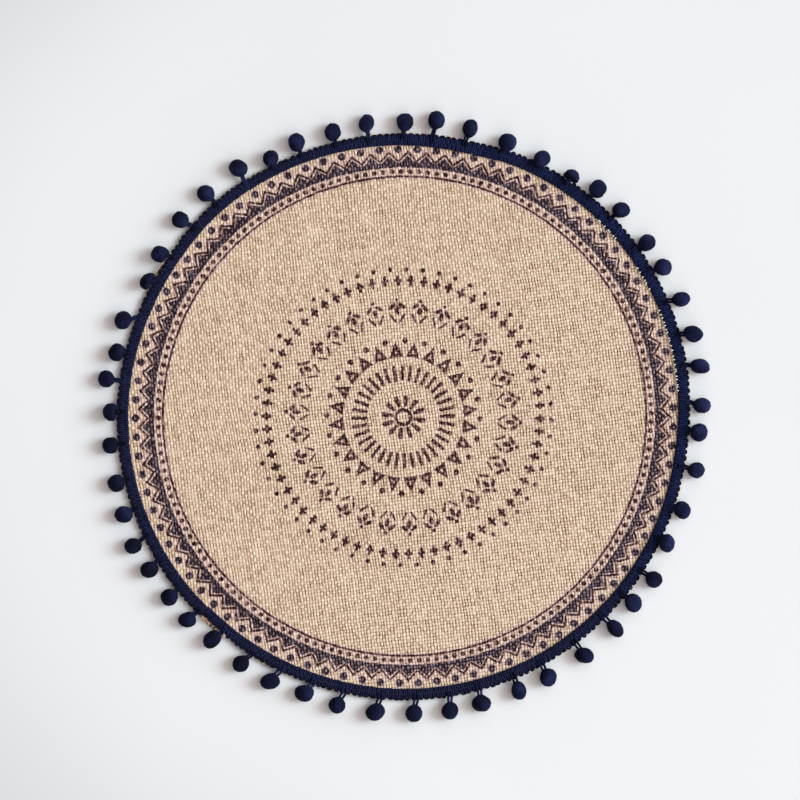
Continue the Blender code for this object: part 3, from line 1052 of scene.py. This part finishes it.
def looseEnds():
    chance = np.random.default_rng(77)
    share = np.linspace(0, 1, 6)
    routes, radii = [], []
    for start, end, count, past, raised in looseJute["stretches"]:
        for _ in range(count):
            turn = chance.uniform(start, end)
            root = edgeAt(turn, clothEdge) - looseJute["tuckedIn"]
            reach = past * chance.uniform(0.3, 1.25) * mm
            swing = chance.normal(0, looseJute["swing"]) * mm * share**1.5
            swing = swing + looseJute["waver"] * np.sin(share * chance.uniform(3, 7))
            out = root + (looseJute["tuckedIn"] + reach) * share
            height = chance.uniform(0.5, 1.3) * mm - share**2 * chance.uniform(0, 0.5) * mm
            height = np.maximum(height + raised * mm, 0.12 * mm)
            routes.append(onClock(turn + turnOver(swing, looseJute["rim"]), out, height))
            radii.append(chance.uniform(*looseJute["thick"]) * mm * (1 - 0.6 * share))
    stray = looseJute["stray"]
    bend = np.sin(share * pi)
    turns, out, height = (np.interp(share, (0, 1), stray[name]) for name in ("turns", "out", "heights"))
    routes.append(onClock(turns, (out + 0.2 * bend) * mm, (height + 0.3 * bend) * mm))
    radii.append(np.full(6, stray["thick"] * mm))
    return tubes(np.array(routes), np.array(radii), 5)


# sewing thread that shows on the braid's inner side
sewing = {
    "stretches": ((44.5, 50.5, 3.0), (57.5, 63.0, 3.2), (67.5, 85.5, 2.6)),  # from and to, mm apart
    "ring": 182 * mm,
    "stray": 0.25,  # in degrees, as the lean
    "lean": 0.3,
    # a stitch comes up out of the cloth, leans over the braid's side and goes down into the braid:
    # how far out from that side and how high, in mm
    "out": (-1.55, -1.15, -0.7, -0.25, 0.15, 0.5),
    "high": (1.4, 2.2, 2.9, 3.45, 3.6, 3.0),
    "radius": 0.42 * mm,
}


def edgeStitches():
    chance = np.random.default_rng(55)
    share = np.linspace(0, 1, len(sewing["out"]))
    routes = []
    for start, end, apart in sewing["stretches"]:
        for turn in np.arange(start, end, turnOver(apart * mm, sewing["ring"])):
            turn += chance.uniform(-sewing["stray"], sewing["stray"])
            outer, width = braidEdges(turn)
            turns = turn + share * chance.uniform(-sewing["lean"], sewing["lean"])
            out = outer - width + np.array(sewing["out"]) * mm
            routes.append(onClock(turns, out, np.array(sewing["high"]) * mm))
    return tubes(np.array(routes), sewing["radius"], 6)


def looseMaterial(name, tones):
    board = Board(name)
    spot = board.place()[3]
    tone = board.noise(spot, 0.9)
    fibre = board.noise(spot, 7.0)
    colour = board.ramp(tone * 0.7 + fibre * 0.3, (0.25, 0.5, 0.8), tones)
    roughness = board.ease(fibre, 0.2, 0.8, 0.8, 0.98)
    return board.surface(colour, roughness, board.bump(fibre, 0.1 * mm), specular=0.2)


# table, light and camera
room = {
    "viewWidth": 532.4 * mm,
    "viewMiddle": (-2.4 * mm, 11.25 * mm),
    "viewHeight": 2.0 * mm,  # where the view is that wide
    "cameraHeight": 2.6,
    "sensor": 36.0,
    "floorSize": 3.0,
    "sky": (1.0, 0.905, 0.895),
    "skyStrength": (0.02, 1.28),  # from the left, and from the right
    "keyWay": (0.80, 0.14, 0.57),
    "keyDistance": 18.0,
    "keySize": 10.0,
    "keyPower": 2480.0,
    "keyColour": (0.76, 0.94, 1.0),
    "paintedLightMiddle": (140.0, 32.0),  # of the painted pool of light on it, in mm
    "paintedShadeFade": (380.0, 620.0),  # mm from there, between which painted shade darkens it
    "floorTones": ((0.72, 0.72, 0.72), (0.93, 0.93, 0.93)),
}


def placeCamera():
    camera = bpy.data.cameras.new("camera")
    camera.sensor_width = room["sensor"]
    camera.lens = room["sensor"] * (room["cameraHeight"] - room["viewHeight"]) / room["viewWidth"]
    camera.clip_start, camera.clip_end = 0.05, 10.0
    holder = addObject("camera", camera)
    holder.location = (*room["viewMiddle"], room["cameraHeight"])
    bpy.context.scene.camera = holder
    view = bpy.context.scene.view_settings
    view.view_transform = "Standard"
    view.look = "None"
    view.exposure = 0.0
    view.gamma = 1.0


def lightRoom():
    # a sky brighter from the right than from the left, and a large window
    board = Board("softRoom", "worlds")
    side = board.split(board.add("ShaderNodeTexCoord"))[0]
    ends = dict(zip(("From Min", "From Max", "To Min", "To Max"), (-0.6, 0.6, *room["skyStrength"])))
    strength = board.add("ShaderNodeMapRange", sockets={"Value": side, **ends})
    sky = board.add("ShaderNodeBackground", sockets={"Color": (*room["sky"], 1.0), "Strength": strength})
    board.add("ShaderNodeOutputWorld", sockets={"Surface": sky})
    bpy.context.scene.world = board.holder

    key = bpy.data.lights.new("window", "AREA")
    key.shape = "DISK"
    key.size = room["keySize"]
    key.energy = room["keyPower"]
    key.color = room["keyColour"]
    lamp = addObject("window", key)
    lamp.location = unit(np.array(room["keyWay"])) * room["keyDistance"]
    lamp.rotation_euler = lamp.location.to_track_quat("Z", "Y").to_euler()


def layTable():
    board = Board("whiteTable")
    x, y, _, spot = board.place()
    cloud = board.noise(spot, 0.004)
    # painted light and shade: the table is brightest round one point, darker towards its far corners and a
    # little darker towards the top
    aside, ahead = x - room["paintedLightMiddle"][0], (y - room["paintedLightMiddle"][1]) * 1.3
    paintedCornerShade = board.ease(board.root(aside * aside + ahead * ahead), *room["paintedShadeFade"])
    light = cloud * 0.2 - paintedCornerShade * 0.9 - y * 0.0003 + 0.78
    colour = board.ramp(light, (0.0, 1.0), room["floorTones"])
    grain = board.noise(spot, 0.5)
    table = board.surface(colour, board.ease(cloud, 0.3, 0.7, 0.55, 0.7), board.bump(grain, 0.02 * mm, 0.3))
    shape = bmesh.new()
    bmesh.ops.create_grid(shape, x_segments=12, y_segments=12, size=room["floorSize"] / 2)
    mesh = bpy.data.meshes.new("table")
    shape.to_mesh(mesh)
    shape.free()
    mesh.materials.append(table)
    addObject("table", mesh)


placeCamera()
lightRoom()
layTable()
print("placemat: camera, light and table")

clothPiece = buildCloth(juteMaterial())
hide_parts("cloth")

braidYarn = braidMaterial()
picotYarn = navyMaterial("picotYarn", navyLook["picot"], 1.6, 0.15 * mm)
threadYarn = navyMaterial("threadYarn", navyLook["ball"], 2.0, 0.1 * mm)
ballYarn = navyMaterial("pompomYarn", navyLook["ball"], 2.2, 0.16 * mm)
fuzzYarn = navyMaterial("pompomFuzzYarn", navyLook["fuzz"], 3.0, 0.05 * mm)
placed = pompomPlaces()
trim = buildPompoms(placed, ballYarn, fuzzYarn)
bandShape, ribMap = braidBand()
braidPiece = newPiece("gimpBraid", bandShape, braidYarn)
giveMap(braidPiece, "ribs", ribMap)
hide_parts("pompom_braid")
trim += [
    braidPiece,
    newPiece("braidPicots", braidPicots(), picotYarn),
    newPiece("pompomStrands", pompomStrands(placed), threadYarn),
    newPiece("braidStitches", braidStitches(), braidYarn),
    newPiece("looseJute", looseEnds(), looseMaterial("looseJuteYarn", looseTones["jute"])),
    newPiece("edgeStitches", edgeStitches(), looseMaterial("sewingThread", looseTones["thread"])),
]

print("placemat: done")
